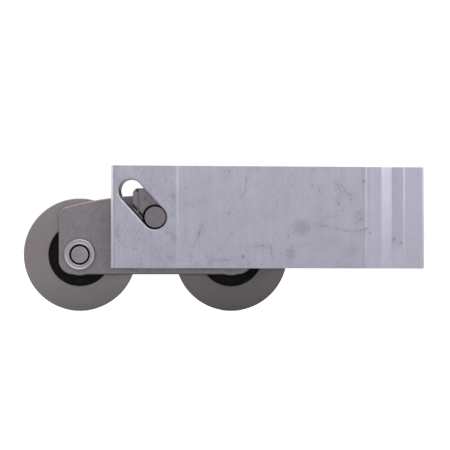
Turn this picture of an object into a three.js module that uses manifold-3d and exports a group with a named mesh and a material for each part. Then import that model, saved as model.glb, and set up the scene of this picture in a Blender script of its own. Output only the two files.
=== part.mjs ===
// Tandem sliding door roller with a height adjustment.
//
// An aluminium housing, cut from an extrusion that runs along Z, holds a rocking carriage with two
// steel ball bearing wheels. A pivot pin through the carriage rides in two inclined slots. A screw
// pulls the pin along them by two links and a barrel nut.
//
// Millimetres. +X runs along the door, +Z is up, and the origin is the centre of the bounding box's
// bottom: the wheels stand on z = 0. Most pieces are built from the pivot pin's centre.
import * as THREE from "three";
import { mergeVertices } from "three/addons/utils/BufferGeometryUtils.js";
import Module from "manifold-3d";

const wasm = await Module();
wasm.setup();

// ---- driving dimensions ----
const WHEEL_R = 19.05; // 1 1/2 inch wheel
const WHEEL_HALF_W = 4;
const AXLE_X = 25.6; // each axle is this far from the pivot pin
const AXLE_DROP = 12.7; // and this far below it

const HOUSING_LEFT = -14.9; // from the pivot pin
const HOUSING_RIGHT = 90.65;
const HOUSING_BELOW = 17.4;
const HOUSING_ABOVE = 17.5;
const HOUSING_HALF_W = 12.7; // 1 inch wide over the pads
const FACE_RELIEF = 0.25; // the middle of each side is this much lower than the pads
const WALL_INNER = 10.2;
const OUTER_CORNER_R = 0.8;
const INNER_CORNER_R = 0.6;
const LEFT_PAD_END = 7.1;
const RIGHT_PAD_START = 71.6;
const PAD_SLOPE = 0.8;
const V_GROOVE = { start: 76.4, bottom: 79.8, end: 83.8, depth: 1.9, wall: 2.2 };
const WEB_LEFT = 70;
const WEB_T = 2.5;
const END_WALL_T = 2.5;
const ACCESS_HOLE_R = 4.2;

const SLOT_ANGLE = THREE.MathUtils.degToRad(47.3); // above the horizontal, up and to the left
const SLOT_LENGTH = 12.1; // between the centres of its ends
const SLOT_R = 3.97;
const SLOT_START = [-0.12, -0.13]; // lower end's centre: the door's weight holds the pin off it

const PIN_R = 3.55;
const PIN_HALF_L = 12.6;
const PIN_CHAMFER = 0.45;
const RUNNING_GAP = 0.15;
const BUSH_R = 5.5;
const BUSH_HALF_L = 4.45;
const WASHER_R = 6.3;
const WASHER_T = 1.15;

const PLATE_IN = 4.6; // inner and outer faces of the carriage plates, from the middle plane
const PLATE_OUT = 6.5;
const PLATE_END = 7.1; // beyond each axle
const PLATE_BOTTOM = 6.72; // below the axles
const PLATE_BULGE_R = 7.1; // the low round bulge under each axle
const PLATE_BOTTOM_CORNER_R = 4.75;
const PLATE_TOP_CORNER_R = 3;
const PLATE_TOP = 7.5; // above the pin, at the middle
const PLATE_TOP_ARC_R = 115;

const LINK_IN = 7.95;
const LINK_OUT = 9.8;
const LINK_LEFT = -7.6;
const LINK_TOP = 9.85;
const LINK_BOTTOM = -8;
const LINK_CORNER_R = 2;
const LINK_END_R = 5;
const LINK_BEYOND_NUT = 5.5;

const NUT_X = 52.6; // barrel nut's centre, from the pivot pin
const SCREW_Z = 4.5; // the screw's and the nut's height above the pin
const NUT_R = 4.5;
const NUT_HALF_L = 7.6;
const TRUNNION_R = 3.2;
const TRUNNION_END = 9.9;
const TRUNNION_GAP = 0.3;

const SCREW_R = 2.9;
const SCREW_TIP = 43;
const SCREW_HEAD_R = 5;
const SCREW_HEAD_T = 3.6;
const SCREW_WASHER_R = 5.8;
const SCREW_WASHER_T = 1;
const CLIP_T = 0.8;
const CLIP_R = 5.2;
const CLIP_GROOVE_R = 2.3;

const SLEEVE_R = 4.3;
const SLEEVE_BORE_R = 3;
const SLEEVE_MOUTH_R = 3.4;
const SLEEVE_HEAD_R = 5.25;
const SLEEVE_HEAD_T = 0.95;
const AXLE_PIN_R = 2.85;

const BALL_R = 2;
const BALL_PITCH_R = 8.2;
const BALLS = 7;
const RACE_R = 2.15; // radius of the ball grooves and the cage pockets
const INNER_RING_R = 6.9;
const INNER_RING_HALF_W = 4.4;
const OUTER_RACE_R = 9.7;
const SEAL_R = 10.6;
const SEAL_SEAT_R = 10.7;
const SEAL_IN = 2.9; // inner and outer faces of a seal, from the wheel's middle plane
const SEAL_OUT = 3.6;
const SEAL_LIP_R = 7.1;

const RIM_LAND = 1.1; // of the wheel: the flat beside the tread, and its chamfer
const RIM_CHAMFER = 0.45;
const TREAD_DEPTH = 1.7;

const CAGE_INNER_R = 7.2;
const CAGE_OUTER_R = 9.4;
const CAGE_BACK = -2.7;
const CAGE_FRONT = 0.8;

const ROUND = 24; // sides of a round piece
const WHEEL_ROUND = 40;

const PIN_X = -(HOUSING_RIGHT - AXLE_X - WHEEL_R) / 2; // centres the whole length on the origin
const PIN_Z = WHEEL_R + AXLE_DROP;

// ---- materials ----
const metal = (color, roughness) => new THREE.MeshStandardMaterial({ color, roughness, metalness: 1 });
const EXTRUSION = metal(0xb4b3bf, 0.45);
const STAMPING = metal(0x8a8488, 0.45);
const WHEEL_STEEL = metal(0x857e80, 0.4);
const BEARING_STEEL = metal(0xb9b8b6, 0.2);
const TURNED_STEEL = metal(0x928d90, 0.35);
const ZINC_PLATE = metal(0xa9a9a4, 0.35);
const SEAL_RUBBER = new THREE.MeshStandardMaterial({ color: 0x151517, roughness: 0.7, metalness: 0 });
const CAGE_NYLON = new THREE.MeshStandardMaterial({ color: 0xcfc6a8, roughness: 0.6, metalness: 0 });

// ---- solids ----
// A closed three.js geometry as a manifold solid.
function solid(geometry) {
  const bare = geometry.index ? geometry.toNonIndexed() : geometry.clone();
  bare.deleteAttribute("normal");
  bare.deleteAttribute("uv");
  const merged = mergeVertices(bare, 1e-4);
  const mesh = new wasm.Mesh({
    numProp: 3,
    vertProperties: merged.attributes.position.array,
    triVerts: new Uint32Array(merged.index.array),
  });
  return new wasm.Manifold(mesh);
}

function geometryOf(body) {
  const mesh = body.getMesh();
  return new THREE.BufferGeometry()
    .setAttribute("position", new THREE.BufferAttribute(mesh.vertProperties, 3))
    .setIndex(new THREE.BufferAttribute(mesh.triVerts, 1));
}

// Turns a closed profile of [radius, y] points round the Y axis. The profile runs anticlockwise.
function revolve(profile, segments) {
  const points = profile.map(([r, y]) => new THREE.Vector2(r, y));
  const closed = profile[0][0] === 0 ? points : [...points, points[0].clone()];
  return new THREE.LatheGeometry(closed, segments);
}

// A plain tube along Y.
function tube(inner, outer, y0, y1, segments) {
  const profile = [
    [inner, y0],
    [outer, y0],
    [outer, y1],
    [inner, y1],
  ];
  return revolve(profile, segments);
}

// The same turned pieces along X: y becomes x.
function alongX(geometry) {
  return geometry.rotateZ(-Math.PI / 2);
}

// A cylinder along Y, for pins and for cutting holes.
function rod(radius, y0, y1, segments = ROUND) {
  const geometry = new THREE.CylinderGeometry(radius, radius, y1 - y0, segments);
  return geometry.translate(0, (y0 + y1) / 2, 0);
}

// A shape drawn in X and Z, given thickness from y0 to y1.
function plate(shape, y0, y1, curveSegments) {
  const geometry = new THREE.ExtrudeGeometry(shape, { depth: y1 - y0, bevelEnabled: false, curveSegments });
  return geometry.rotateX(Math.PI / 2).translate(0, y1, 0);
}

// Adds a polygon's corners to a path, each [x, y, radius] rounded by an arc.
function roundedPolygon(path, corners) {
  const count = corners.length;
  corners.forEach(([x, y, radius], i) => {
    const corner = new THREE.Vector2(x, y);
    const before = new THREE.Vector2(...corners[(i + count - 1) % count]).sub(corner).normalize();
    const after = new THREE.Vector2(...corners[(i + 1) % count]).sub(corner).normalize();
    if (!radius) {
      if (i) path.lineTo(x, y);
      else path.moveTo(x, y);
      return;
    }
    const half = Math.acos(before.dot(after)) / 2;
    const start = before.clone().multiplyScalar(radius / Math.tan(half)).add(corner);
    const end = after.clone().multiplyScalar(radius / Math.tan(half)).add(corner);
    const middle = before.clone().add(after).normalize();
    const centre = middle.multiplyScalar(radius / Math.sin(half)).add(corner);
    if (i) path.lineTo(start.x, start.y);
    else path.moveTo(start.x, start.y);
    const from = start.sub(centre).angle();
    const to = end.sub(centre).angle();
    path.absarc(centre.x, centre.y, radius, from, to, before.cross(after) > 0);
  });
  path.closePath();
  return path;
}

function placed(name, geometry, material, parent, position = [0, 0, 0]) {
  const mesh = new THREE.Mesh(geometry, material);
  mesh.name = name;
  mesh.position.set(...position);
  parent.add(mesh);
}

// ---- housing ----
// One side of the plan outline, from left to right, on the side of negative y.
function sideOutline() {
  const face = -HOUSING_HALF_W;
  const relief = face + FACE_RELIEF;
  return [
    [HOUSING_LEFT, face, OUTER_CORNER_R / 2],
    [LEFT_PAD_END, face, 0],
    [LEFT_PAD_END + PAD_SLOPE, relief, 0],
    [RIGHT_PAD_START - PAD_SLOPE, relief, 0],
    [RIGHT_PAD_START, face, 0],
    [V_GROOVE.start, face, 0],
    [V_GROOVE.bottom, face + V_GROOVE.depth, 0],
    [V_GROOVE.end, face, 0],
    [HOUSING_RIGHT, face, OUTER_CORNER_R],
  ];
}

// The end cell between the inner web and the end wall. Its sides bend in behind the V grooves.
function endCell() {
  const left = WEB_LEFT + WEB_T;
  const right = HOUSING_RIGHT - END_WALL_T;
  const bend = HOUSING_HALF_W - V_GROOVE.depth - V_GROOVE.wall;
  const side = [
    [left, -WALL_INNER, INNER_CORNER_R],
    [V_GROOVE.start, -WALL_INNER, 0],
    [V_GROOVE.bottom, -bend, 0],
    [V_GROOVE.end, -WALL_INNER, 0],
    [right, -WALL_INNER, INNER_CORNER_R],
  ];
  const mirrored = side.map(([x, y, r]) => [x, -y, r]).reverse();
  return roundedPolygon(new THREE.Path(), [...side, ...mirrored]);
}

// The slot that the pivot pin rides in, cut through both walls.
function slotCutter() {
  const path = new THREE.Shape();
  const up = Math.PI / 2 - SLOT_ANGLE;
  const [x, z] = SLOT_START;
  const farX = x - SLOT_LENGTH * Math.cos(SLOT_ANGLE);
  const farZ = z + SLOT_LENGTH * Math.sin(SLOT_ANGLE);
  path.absarc(x, z, SLOT_R, up - Math.PI, up, false);
  path.absarc(farX, farZ, SLOT_R, up, up + Math.PI, false);
  path.closePath();
  return solid(plate(path, -HOUSING_HALF_W - 1, HOUSING_HALF_W + 1, 8));
}

function housing() {
  const outer = sideOutline();
  const far = outer.map(([x, y, r]) => [x, -y, r]).reverse();
  const inside = [
    [HOUSING_LEFT, WALL_INNER, INNER_CORNER_R],
    [WEB_LEFT, WALL_INNER, INNER_CORNER_R],
    [WEB_LEFT, -WALL_INNER, INNER_CORNER_R],
    [HOUSING_LEFT, -WALL_INNER, INNER_CORNER_R],
  ];
  const plan = roundedPolygon(new THREE.Shape(), [...outer, ...far, ...inside]);
  plan.holes.push(endCell());
  const depth = HOUSING_BELOW + HOUSING_ABOVE;
  const extrusion = new THREE.ExtrudeGeometry(plan, { depth, bevelEnabled: false, curveSegments: 3 });
  extrusion.translate(0, 0, -HOUSING_BELOW);
  const holes = [
    alongX(rod(SCREW_R + 0.4, WEB_LEFT - 1, WEB_LEFT + WEB_T + 1, ROUND)),
    alongX(rod(ACCESS_HOLE_R, HOUSING_RIGHT - END_WALL_T - 1, HOUSING_RIGHT + 1, 32)),
  ];
  let body = solid(extrusion).subtract(slotCutter());
  for (const hole of holes) {
    body = body.subtract(solid(hole.translate(0, 0, SCREW_Z)));
  }
  return geometryOf(body);
}

// ---- carriage ----
// Straight sides and bottom, rounded corners, and a top that is one long arc. A low round bulge lies
// under each axle.
function carriagePlate(side) {
  const edge = AXLE_X + PLATE_END;
  const bottom = -AXLE_DROP - PLATE_BOTTOM;
  const arcHeight = (x) => PLATE_TOP - PLATE_TOP_ARC_R + Math.sqrt(PLATE_TOP_ARC_R ** 2 - x ** 2);
  const archSteps = 10;
  const archEdge = edge - 5;
  const arch = Array.from({ length: archSteps + 1 }, (_, i) => {
    const x = archEdge * (1 - (2 * i) / archSteps);
    return [x, arcHeight(x), 0];
  });
  const outline = roundedPolygon(new THREE.Shape(), [
    [-edge, bottom, PLATE_BOTTOM_CORNER_R],
    [edge, bottom, PLATE_BOTTOM_CORNER_R],
    [edge, arcHeight(edge), PLATE_TOP_CORNER_R],
    ...arch,
    [-edge, arcHeight(edge), PLATE_TOP_CORNER_R],
  ]);

  const low = side > 0 ? PLATE_IN : -PLATE_OUT;
  const high = low + PLATE_OUT - PLATE_IN;
  const atAxle = (radius, y0, y1, end, segments) =>
    solid(rod(radius, y0, y1, segments).translate(end * AXLE_X, 0, -AXLE_DROP));
  let body = solid(plate(outline, low, high, 4));
  for (const end of [-1, 1]) {
    body = body.add(atAxle(PLATE_BULGE_R, low, high, end, 48));
    body = body.subtract(atAxle(SLEEVE_R + RUNNING_GAP, low - 1, high + 1, end, ROUND));
  }
  return geometryOf(body.subtract(solid(rod(PIN_R + RUNNING_GAP, low - 1, high + 1))));
}

// The tube through both plates and the bearing, with a flared head outside each plate.
function hubSleeve() {
  const neck = PLATE_OUT + 0.12;
  const head = neck + SLEEVE_HEAD_T;
  const profile = [
    [SLEEVE_MOUTH_R, -head],
    [SLEEVE_HEAD_R - 0.35, -head],
    [SLEEVE_HEAD_R, -head + 0.35],
    [SLEEVE_HEAD_R, -neck],
    [SLEEVE_R, -neck],
    [SLEEVE_R, neck],
    [SLEEVE_HEAD_R, neck],
    [SLEEVE_HEAD_R, head - 0.35],
    [SLEEVE_HEAD_R - 0.35, head],
    [SLEEVE_MOUTH_R, head],
    [SLEEVE_BORE_R, head - 0.8],
    [SLEEVE_BORE_R, -head + 0.8],
  ];
  return revolve(profile, ROUND);
}

// A solid pin with chamfered ends.
function chamferedPin(radius, half, chamfer, segments) {
  const profile = [
    [0, -half],
    [radius - chamfer, -half],
    [radius, -half + chamfer],
    [radius, half - chamfer],
    [radius - chamfer, half],
    [0, half],
  ];
  return revolve(profile, segments);
}

// Points of the ball groove, from low y to high y. side is 1 for the outer race, -1 for the inner.
function raceGroove(side, shoulder) {
  const reach = Math.asin(Math.sqrt(RACE_R ** 2 - (shoulder - BALL_PITCH_R) ** 2) / RACE_R);
  const steps = 4;
  return Array.from({ length: steps + 1 }, (_, i) => {
    const a = -reach + (2 * reach * i) / steps;
    return [BALL_PITCH_R + side * RACE_R * Math.cos(a), RACE_R * Math.sin(a)];
  });
}

function innerRing() {
  const bore = SLEEVE_R + 0.12;
  const half = INNER_RING_HALF_W;
  const groove = raceGroove(-1, INNER_RING_R);
  const profile = [
    [bore, -half],
    [INNER_RING_R, -half],
    ...groove,
    [INNER_RING_R, half],
    [bore, half],
  ];
  return revolve(profile, ROUND);
}

// A wheel that is its own outer race: a hollow tread, chamfered rims and a seat for each seal.
function wheel() {
  const half = WHEEL_HALF_W;
  const seatDepth = SEAL_IN - 0.1;
  const treadSteps = 4;
  const treadHalf = half - RIM_LAND - RIM_CHAMFER;
  const tread = Array.from({ length: treadSteps + 1 }, (_, i) => {
    const t = -1 + (2 * i) / treadSteps;
    return [WHEEL_R - TREAD_DEPTH * (1 - t * t), treadHalf * t];
  });
  const groove = raceGroove(1, OUTER_RACE_R).reverse();
  const profile = [
    [SEAL_SEAT_R, -half],
    [WHEEL_R - RIM_CHAMFER, -half],
    [WHEEL_R, -half + RIM_CHAMFER],
    ...tread,
    [WHEEL_R, half - RIM_CHAMFER],
    [WHEEL_R - RIM_CHAMFER, half],
    [SEAL_SEAT_R, half],
    [SEAL_SEAT_R, seatDepth],
    [OUTER_RACE_R, seatDepth],
    ...groove,
    [OUTER_RACE_R, -seatDepth],
    [SEAL_SEAT_R, -seatDepth],
  ];
  return revolve(profile, WHEEL_ROUND);
}

function ballAngle(i) {
  return (2 * Math.PI * i) / BALLS;
}

function ballCentre(i) {
  return [BALL_PITCH_R * Math.cos(ballAngle(i)), 0, BALL_PITCH_R * Math.sin(ballAngle(i))];
}

const sphere = (radius) => new THREE.SphereGeometry(radius, 8, 5);

// A crown cage: a ring to one side of the balls with a pocket for each.
function cage() {
  let body = solid(tube(CAGE_INNER_R, CAGE_OUTER_R, CAGE_BACK, CAGE_FRONT, 3 * BALLS));
  for (let i = 0; i < BALLS; i += 1) {
    body = body.subtract(solid(sphere(RACE_R).translate(...ballCentre(i))));
  }
  return geometryOf(body);
}

// ---- pull links and adjusting screw ----
function link(side) {
  const right = NUT_X + LINK_BEYOND_NUT;
  const stripBottom = 2 * SCREW_Z - LINK_TOP; // the strip is centred on the screw
  const outline = roundedPolygon(new THREE.Shape(), [
    [LINK_LEFT, LINK_BOTTOM, LINK_CORNER_R],
    [9, LINK_BOTTOM, 6],
    [20, stripBottom, 8],
    [right, stripBottom, LINK_END_R],
    [right, LINK_TOP, LINK_END_R],
    [LINK_LEFT, LINK_TOP, LINK_CORNER_R],
  ]);
  const low = side > 0 ? LINK_IN : -LINK_OUT;
  const pinHole = solid(rod(PIN_R + RUNNING_GAP, low - 1, low + 3));
  const nutHole = solid(rod(TRUNNION_R + TRUNNION_GAP, low - 1, low + 3).translate(NUT_X, 0, SCREW_Z));
  const body = solid(plate(outline, low, low + LINK_OUT - LINK_IN, 4));
  return geometryOf(body.subtract(pinHole).subtract(nutHole));
}

// A cross nut: a fat barrel with a smaller journal at each end, tapped across the middle.
function barrelNut() {
  const profile = [
    [0, -TRUNNION_END],
    [TRUNNION_R - 0.3, -TRUNNION_END],
    [TRUNNION_R, -TRUNNION_END + 0.3],
    [TRUNNION_R, -NUT_HALF_L],
    [NUT_R, -NUT_HALF_L],
    [NUT_R, NUT_HALF_L],
    [TRUNNION_R, NUT_HALF_L],
    [TRUNNION_R, TRUNNION_END - 0.3],
    [TRUNNION_R - 0.3, TRUNNION_END],
    [0, TRUNNION_END],
  ];
  const tapped = alongX(rod(SCREW_R + 0.2, -NUT_R - 1, NUT_R + 1, ROUND));
  return geometryOf(solid(revolve(profile, ROUND)).subtract(solid(tapped)));
}

const WEB_RIGHT = WEB_LEFT + WEB_T;
const HEAD_X = WEB_RIGHT + 0.1 + SCREW_WASHER_T + 0.15; // the underside of the screw's head
const CLIP_X = WEB_LEFT - 0.15 - CLIP_T; // the retaining ring's left face

// The screw from tip to head, with the ring's groove and a cross recess.
function adjustingScrew() {
  const headEnd = HEAD_X + SCREW_HEAD_T;
  const grooveStart = CLIP_X - 0.05;
  const grooveEnd = CLIP_X + CLIP_T + 0.05;
  const profile = [
    [0, SCREW_TIP],
    [SCREW_R - 0.7, SCREW_TIP],
    [SCREW_R, SCREW_TIP + 0.9],
    [SCREW_R, grooveStart],
    [CLIP_GROOVE_R, grooveStart],
    [CLIP_GROOVE_R, grooveEnd],
    [SCREW_R, grooveEnd],
    [SCREW_R, HEAD_X],
    [SCREW_HEAD_R, HEAD_X],
    [SCREW_HEAD_R, headEnd - 1.2],
    [SCREW_HEAD_R - 1.3, headEnd],
    [0, headEnd],
  ];
  let body = solid(alongX(revolve(profile, ROUND)));
  const recessDepth = 2;
  for (const [across, along] of [
    [1.1, 4.8],
    [4.8, 1.1],
  ]) {
    const bar = new THREE.BoxGeometry(recessDepth * 2, across, along).translate(headEnd, 0, 0);
    body = body.subtract(solid(bar));
  }
  return geometryOf(body);
}

// A C-shaped ring that snaps into the screw's groove.
function retainingRing() {
  const ring = solid(alongX(tube(CLIP_GROOVE_R + 0.12, CLIP_R, 0, CLIP_T, ROUND)));
  const mouth = new THREE.BoxGeometry(CLIP_T * 3, 3.6, CLIP_R).translate(0, 0, -CLIP_R / 2 - 0.5);
  return geometryOf(ring.subtract(solid(mouth)));
}

// ---- assembly ----
const roller = new THREE.Group();
const fromPin = new THREE.Group();
fromPin.position.set(PIN_X, 0, PIN_Z);
roller.add(fromPin);

placed("housing", housing(), EXTRUSION, fromPin);
const pinBore = PIN_R + RUNNING_GAP;
const bush = tube(pinBore, BUSH_R, -BUSH_HALF_L, BUSH_HALF_L, ROUND);
placed("pivot_pin", chamferedPin(PIN_R, PIN_HALF_L, PIN_CHAMFER, ROUND), TURNED_STEEL, fromPin);
placed("pivot_bush", bush, ZINC_PLATE, fromPin);

for (const [label, side] of [
  ["front", -1],
  ["rear", 1],
]) {
  placed(`carriage_plate_${label}`, carriagePlate(side), STAMPING, fromPin);
  placed(`pull_link_${label}`, link(side), STAMPING, fromPin);
  const washerLow = side > 0 ? PLATE_OUT + 0.15 : -LINK_IN + 0.15;
  const washer = tube(pinBore, WASHER_R, washerLow, washerLow + WASHER_T, ROUND);
  placed(`pivot_washer_${label}`, washer, ZINC_PLATE, fromPin);
}

for (const [label, end] of [
  ["left", -1],
  ["right", 1],
]) {
  const hub = new THREE.Group();
  hub.position.set(end * AXLE_X, 0, -AXLE_DROP);
  fromPin.add(hub);
  placed(`${label}_hub_sleeve`, hubSleeve(), TURNED_STEEL, hub);
  placed(`${label}_axle_pin`, chamferedPin(AXLE_PIN_R, PLATE_OUT + 0.95, 0.3, 20), TURNED_STEEL, hub);
  placed(`${label}_bearing_inner_ring`, innerRing(), BEARING_STEEL, hub);
  placed(`${label}_wheel`, wheel(), WHEEL_STEEL, hub);
  placed(`${label}_seal_front`, tube(SEAL_LIP_R, SEAL_R, -SEAL_OUT, -SEAL_IN, ROUND), SEAL_RUBBER, hub);
  placed(`${label}_seal_rear`, tube(SEAL_LIP_R, SEAL_R, SEAL_IN, SEAL_OUT, ROUND), SEAL_RUBBER, hub);
  placed(`${label}_ball_cage`, cage(), CAGE_NYLON, hub);
  for (let i = 0; i < BALLS; i += 1) {
    placed(`${label}_ball_${i + 1}`, sphere(BALL_R), BEARING_STEEL, hub, ballCentre(i));
  }
}

const screwLine = new THREE.Group();
screwLine.position.z = SCREW_Z;
fromPin.add(screwLine);
const washerX = WEB_RIGHT + 0.1;
const screwWasher = tube(SCREW_R + 0.2, SCREW_WASHER_R, washerX, washerX + SCREW_WASHER_T, ROUND);
placed("barrel_nut", barrelNut(), ZINC_PLATE, screwLine, [NUT_X, 0, 0]);
placed("adjusting_screw", adjustingScrew(), ZINC_PLATE, screwLine);
placed("screw_washer", alongX(screwWasher), ZINC_PLATE, screwLine);
placed("screw_retaining_ring", retainingRing(), TURNED_STEEL, screwLine, [CLIP_X, 0, 0]);

export default roller;
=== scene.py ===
"""Sliding door roller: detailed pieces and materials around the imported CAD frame.

Lengths in the piece functions are millimetres, measured from the piece's own centre, which comes
from the frame. X runs along the door, Y from the front face to the back, Z up.
"""

from math import asin, cos, degrees, pi, radians, sin, sqrt, tan

import bmesh
import bpy
from mathutils import Matrix, Vector


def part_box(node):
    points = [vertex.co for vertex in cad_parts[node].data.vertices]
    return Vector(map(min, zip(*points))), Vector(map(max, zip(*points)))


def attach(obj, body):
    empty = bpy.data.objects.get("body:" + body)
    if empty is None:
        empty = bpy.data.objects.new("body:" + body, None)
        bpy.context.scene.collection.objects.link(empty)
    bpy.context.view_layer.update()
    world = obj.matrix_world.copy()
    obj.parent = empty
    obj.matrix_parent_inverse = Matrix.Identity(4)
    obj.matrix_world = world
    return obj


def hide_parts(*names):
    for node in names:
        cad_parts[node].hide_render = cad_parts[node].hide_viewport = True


MM = 0.001
SIDES = (("front", -1), ("rear", 1))
ENDS = ("left", "right")
SMOOTH_UNDER = 28  # degrees between faces that are shaded as one

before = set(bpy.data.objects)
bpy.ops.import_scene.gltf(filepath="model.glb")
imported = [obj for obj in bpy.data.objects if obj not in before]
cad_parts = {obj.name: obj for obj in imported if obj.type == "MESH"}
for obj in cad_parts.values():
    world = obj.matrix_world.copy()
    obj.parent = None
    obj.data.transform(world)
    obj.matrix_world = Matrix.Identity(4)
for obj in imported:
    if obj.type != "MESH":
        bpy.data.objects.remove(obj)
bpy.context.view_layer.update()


def middle(node):
    """A node's centre and its size in millimetres."""
    low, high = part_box(node)
    return (low + high) / 2, (high - low) / MM


def from_pin(place):
    """How far right of and above the pivot pin a place is, in millimetres."""
    return (place.x - PIN.x) / MM, (place.z - PIN.z) / MM


PIN, PIN_SIZE = middle("pivot_pin")
PIN_R = PIN_SIZE.x / 2


# ---- outlines ----
def arc(cx, cy, radius, start, end, steps):
    """Points on an arc from angle start to end, in degrees."""
    angles = [radians(start + (end - start) * i / steps) for i in range(steps + 1)]
    return [(cx + radius * cos(a), cy + radius * sin(a)) for a in angles]


def rounded(corners, steps=6, closed=True):
    """An outline from [x, y] or [x, y, radius] corners, each radius drawn as an arc."""
    points = []
    count = len(corners)
    for i, corner in enumerate(corners):
        here = Vector(corner[:2])
        radius = corner[2] if len(corner) > 2 else 0
        if not radius or (not closed and i in (0, count - 1)):
            points.append(tuple(here))
            continue
        before = (Vector(corners[i - 1][:2]) - here).normalized()
        after = (Vector(corners[(i + 1) % count][:2]) - here).normalized()
        half = before.angle(after) / 2
        start = here + before * (radius / tan(half))
        centre = here + (before + after).normalized() * (radius / sin(half))
        turn = 2 * (pi / 2 - half)
        direction = 1 if before.cross(after) < 0 else -1
        spoke = start - centre
        for k in range(steps + 1):
            a = direction * turn * k / steps
            x = spoke.x * cos(a) - spoke.y * sin(a)
            y = spoke.x * sin(a) + spoke.y * cos(a)
            points.append((centre.x + x, centre.y + y))
    return points


def area_of(loop):
    """A closed loop's area, positive where it runs anticlockwise."""
    pairs = zip(loop, loop[1:] + loop[:1])
    return sum(a[0] * b[1] - b[0] * a[1] for a, b in pairs) / 2


def inset(loop, distance):
    """A closed loop moved to its left by a distance: inwards where it runs anticlockwise."""
    moved = []
    count = len(loop)
    for i in range(count):
        a, b, c = Vector(loop[i - 1]), Vector(loop[i]), Vector(loop[(i + 1) % count])
        u, v = (b - a).normalized(), (c - b).normalized()
        left_u, left_v = Vector((-u.y, u.x)), Vector((-v.y, v.x))
        bisector = (left_u + left_v).normalized()
        reach = distance / max(0.35, bisector.dot(left_v))
        moved.append(tuple(b + bisector * reach))
    return moved


# ---- meshes ----
X_AXIS = Matrix(((0, 0, 1, 0), (1, 0, 0, 0), (0, 1, 0, 0), (0, 0, 0, 1)))
Y_AXIS = Matrix(((1, 0, 0, 0), (0, 0, -1, 0), (0, 1, 0, 0), (0, 0, 0, 1)))
Z_AXIS = Matrix.Identity(4)


def add_object(name, data):
    made = bpy.data.objects.new(name, data)
    bpy.context.scene.collection.objects.link(made)
    return made


def smooth(mesh, angle):
    """Shades a mesh smooth, but for edges sharper than an angle in degrees."""
    mesh.shade_smooth()
    mesh.set_sharp_from_angle(angle=radians(angle))


def finish_mesh(name, bm, centre, axes=Z_AXIS, sharp=SMOOTH_UNDER):
    """Turns local u, v, w millimetres into the row frame and returns the object."""
    bmesh.ops.remove_doubles(bm, verts=bm.verts, dist=1e-5)
    place = Matrix.Translation(centre) @ Matrix.Scale(MM, 4) @ axes
    bm.transform(place)
    bmesh.ops.recalc_face_normals(bm, faces=bm.faces)
    mesh = bpy.data.meshes.new(name)
    bm.to_mesh(mesh)
    bm.free()
    smooth(mesh, sharp)
    return add_object(name, mesh)


def add_rings(bm, rings, closed_ends=False):
    """Joins rings of equal length with quads. A ring of one point is a pole."""
    made = [[bm.verts.new(p) for p in ring] for ring in rings]
    pairs = list(zip(made, made[1:]))
    if closed_ends:
        pairs.append((made[-1], made[0]))
    for low, high in pairs:
        count = max(len(low), len(high))
        for i in range(count):
            j = (i + 1) % count
            below = [low[i % len(low)], low[j % len(low)]]
            above = [high[j % len(high)], high[i % len(high)]]
            unique = list(dict.fromkeys(below + above))
            if len(unique) > 2:
                bm.faces.new(unique)
    return made


def flipped(profile):
    """A profile's mirror image, run backwards."""
    return [(r, -w) for r, w in reversed(profile)]


def lathe_mesh(profile, segments):
    """Turns (radius, w) points round the w axis. A profile off the axis is closed on itself."""
    bm = bmesh.new()
    rings = []
    for radius, w in profile:
        if radius < 1e-6:
            rings.append([(0, 0, w)])
            continue
        turns = [2 * pi * i / segments for i in range(segments)]
        rings.append([(radius * cos(a), radius * sin(a), w) for a in turns])
    add_rings(bm, rings, closed_ends=profile[0][0] > 1e-6)
    return bm


def edge_steps(edge, steps=4):
    """(inset, depth) pairs of a quarter-round edge, from the face to the side."""
    turns = [pi / 2 * k / steps for k in range(steps + 1)]
    return [(edge * (1 - sin(a)), edge * (1 - cos(a))) for a in turns]


def prism_mesh(outline, holes, w0, w1, edge):
    """An outline with holes, given thickness from w0 to w1, with rounded edges."""
    bm = bmesh.new()
    steps = edge_steps(edge) if edge else [(0, 0)]
    levels = [(offset, w0 + depth) for offset, depth in steps]
    levels += [(offset, w1 - depth) for offset, depth in reversed(steps)]
    low, high = [], []
    for k, loop in enumerate([outline, *holes]):
        wanted = 1 if k == 0 else -1
        turned = loop if area_of(loop) * wanted > 0 else loop[::-1]
        rings = [[(x, y, w) for x, y in inset(turned, offset)] for offset, w in levels]
        made = add_rings(bm, rings)
        low.append(made[0])
        high.append(made[-1])
    for caps in (low, high):
        if len(caps) == 1:
            bm.faces.new(caps[0])
            continue
        pairs = [pair for ring in caps for pair in zip(ring, ring[1:] + ring[:1])]
        edges = [bm.edges.get(pair) for pair in pairs]
        bmesh.ops.triangle_fill(bm, edges=edges, use_beauty=True)
    return bm


def cut(target, cutters, sharp=SMOOTH_UNDER):
    """Subtracts each cutter from the target and removes it."""
    for cutter in cutters:
        step = target.modifiers.new("cut", "BOOLEAN")
        step.operation = "DIFFERENCE"
        step.solver = "EXACT"
        step.object = cutter
    bpy.context.view_layer.update()
    evaluated = target.evaluated_get(bpy.context.evaluated_depsgraph_get())
    shaped = bpy.data.meshes.new_from_object(evaluated)
    target.modifiers.clear()
    target.data = shaped
    smooth(shaped, sharp)
    for cutter in cutters:
        bpy.data.objects.remove(cutter)


def stadium(start, length, angle, radius, steps=20):
    """A slot's outline from its first end's centre, at an angle in degrees."""
    x, y = start
    far_x, far_y = x + length * cos(radians(angle)), y + length * sin(radians(angle))
    near = arc(x, y, radius, angle + 90, angle + 270, steps)
    return near + arc(far_x, far_y, radius, angle - 90, angle + 90, steps)


# ---- materials ----
NOISE_BAND = (0.3, 0.7)  # where most of a noise's values lie
WHITE = (1, 1, 1, 1)


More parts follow.
